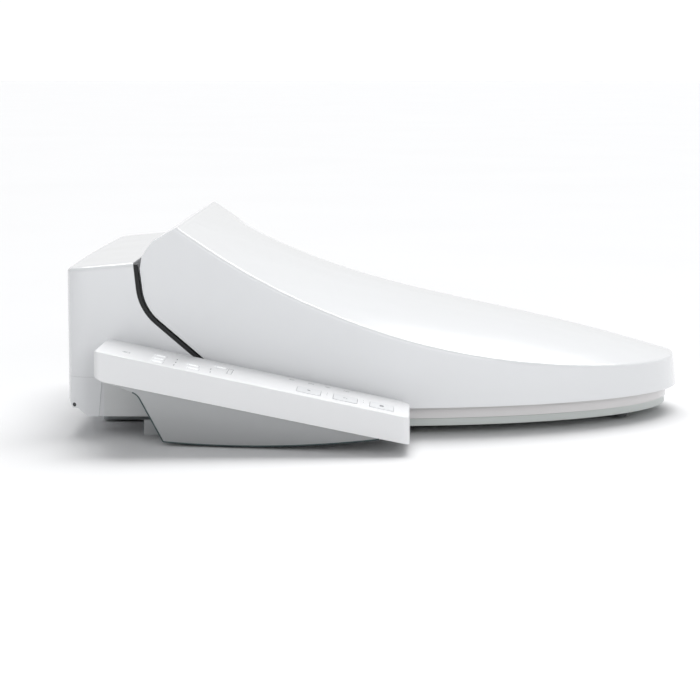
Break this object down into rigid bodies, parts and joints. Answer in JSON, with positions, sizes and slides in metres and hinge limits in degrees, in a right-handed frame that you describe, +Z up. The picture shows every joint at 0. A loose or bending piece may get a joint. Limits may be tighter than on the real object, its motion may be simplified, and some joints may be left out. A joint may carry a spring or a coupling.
{
  "type": "electric bidet seat",
  "caption": "Warm-water bidet seat with crowned lid, heated ring, rear water unit, sliding wand and side control arm.",
  "frame": {"origin": "midway between the two bowl bolts, on the plane of the bowl's rim", "axes": "+Z up, -Y towards the front of the seat, -X towards the user's right, where the control arm is"},
  "size_m": [0.4725, 0.53, 0.1732],
  "materials": {
    "white_gloss": "glossy",
    "seat_white": "glossy",
    "seat_under": "satin",
    "black_trim": "satin",
    "pad_grey": "matte",
    "arm_grey": "satin",
    "frame_grey": "matte",
    "dark_plastic": "matte",
    "key_white": "satin",
    "window_clear": "frosted",
    "steel": "satin",
    "brass": "satin",
    "zinc": "satin",
    "board_green": "satin",
    "coil_blue": "matte",
    "carbon": "matte",
    "hose_clear": "satin",
    "foil": "satin",
    "wand_white": "glossy"
  },
  "bodies": {
    "base": {"upper_casing": "white_gloss", "lower_casing": "white_gloss", "casing_screws": "steel", "side_panel": "seat_under", "edge_plug": "dark_plastic", "gap_strips": "black_trim", "hinge_brackets": "frame_grey", "soft_close_dampers": "dark_plastic", "arm_cover": "white_gloss", "arm_keel": "arm_grey", "arm_board": "board_green", "key_switches": "dark_plastic", "indicator_windows": "window_clear", "arm_cable": "dark_plastic", "fixing_plate": "frame_grey", "bolt_adjusters": "dark_plastic", "rest_pads": "pad_grey", "nozzle_motor": "zinc", "nozzle_guide": "frame_grey", "nozzle_hood": "white_gloss", "water_inlet": "brass", "inlet_strainer": "steel", "solenoid_valve": "frame_grey", "valve_coil": "coil_blue", "heater_tank": "frame_grey", "tank_cover": "dark_plastic", "heating_element": "steel", "water_pump": "dark_plastic", "water_hoses": "hose_clear", "fan_housing": "dark_plastic", "fan_motor": "zinc", "air_duct": "dark_plastic", "main_board": "board_green", "transformer": "zinc", "cable_gland": "dark_plastic", "presence_sensor": "black_trim"},
    "seat": {"seat_upper": "seat_white", "seat_lower": "seat_under", "seat_heater": "foil", "seat_bumpers": "pad_grey", "seat_bush": "dark_plastic", "seat_damper_shaft": "steel"},
    "lid": {"lid": "white_gloss", "lid_hinge_lugs": "white_gloss", "lid_bush": "dark_plastic", "lid_bumpers": "pad_grey", "lid_damper_shaft": "steel"},
    "wand": {"nozzle_tip": "wand_white", "nozzle_wand": "wand_white"},
    "pinion": {"nozzle_pinion": "dark_plastic"},
    "fan": {"fan_rotor": "frame_grey"},
    "stop_key": {"stop_button": "key_white"},
    "rear_wash_key": {"rear_wash_button": "key_white"},
    "front_wash_key": {"front_wash_button": "key_white"},
    "release": {"release_button": "white_gloss", "release_latch": "zinc"},
    "cartridge": {"deodoriser_cartridge": "white_gloss", "cartridge_carbon": "carbon"},
    "drain": {"drain_plug": "dark_plastic"}
  },
  "joints": [
    {"name": "seat_hinge", "type": "hinge", "parent": "base", "child": "seat", "pos_m": [0, -0.036, 0.145], "axis": [-1, 0, 0], "range_deg": [0, 110]},
    {"name": "lid_hinge", "type": "hinge", "parent": "seat", "child": "lid", "pos_m": [0, -0.036, 0.145], "axis": [1, 0, 0], "range_deg": [-115, 0]},
    {"name": "wand_slide", "type": "slide", "parent": "base", "child": "wand", "axis": [0, -0.8829, -0.4695], "range_m": [0, 0.1]},
    {"name": "pinion_spin", "type": "hinge", "parent": "base", "child": "pinion", "pos_m": [0.0175, -0.06027, 0.04113], "axis": [0, -0.4695, 0.8829], "range_deg": [-10, 830]},
    {"name": "fan_spin", "type": "hinge", "parent": "base", "child": "fan", "pos_m": [0.08, 0.03, 0.05], "axis": [1, 0, 0], "continuous": true},
    {"name": "stop_press", "type": "slide", "parent": "base", "child": "stop_key", "axis": [0, 0.206, -0.9786], "range_m": [0, 0.0008], "stiffness_N_per_m": 1500, "springref_m": -0.0005},
    {"name": "rear_wash_press", "type": "slide", "parent": "base", "child": "rear_wash_key", "axis": [0, 0.206, -0.9786], "range_m": [0, 0.0008], "stiffness_N_per_m": 1500, "springref_m": -0.0005},
    {"name": "front_wash_press", "type": "slide", "parent": "base", "child": "front_wash_key", "axis": [0, 0.206, -0.9786], "range_m": [0, 0.0008], "stiffness_N_per_m": 1500, "springref_m": -0.0005},
    {"name": "release_press", "type": "slide", "parent": "base", "child": "release", "axis": [-1, 0, 0], "range_m": [0, 0.004], "stiffness_N_per_m": 800, "springref_m": -0.002},
    {"name": "cartridge_pull", "type": "slide", "parent": "base", "child": "cartridge", "axis": [1, 0, 0], "range_m": [0, 0.062]},
    {"name": "drain_turn", "type": "hinge", "parent": "base", "child": "drain", "pos_m": [-0.124, -0.03, 0.015], "axis": [0, 0, 1], "range_deg": [0, 90]}
  ],
  "couplings": [
    {"joint": "pinion_spin", "follows": "wand_slide", "rad_per_m": 142.86}
  ]
}
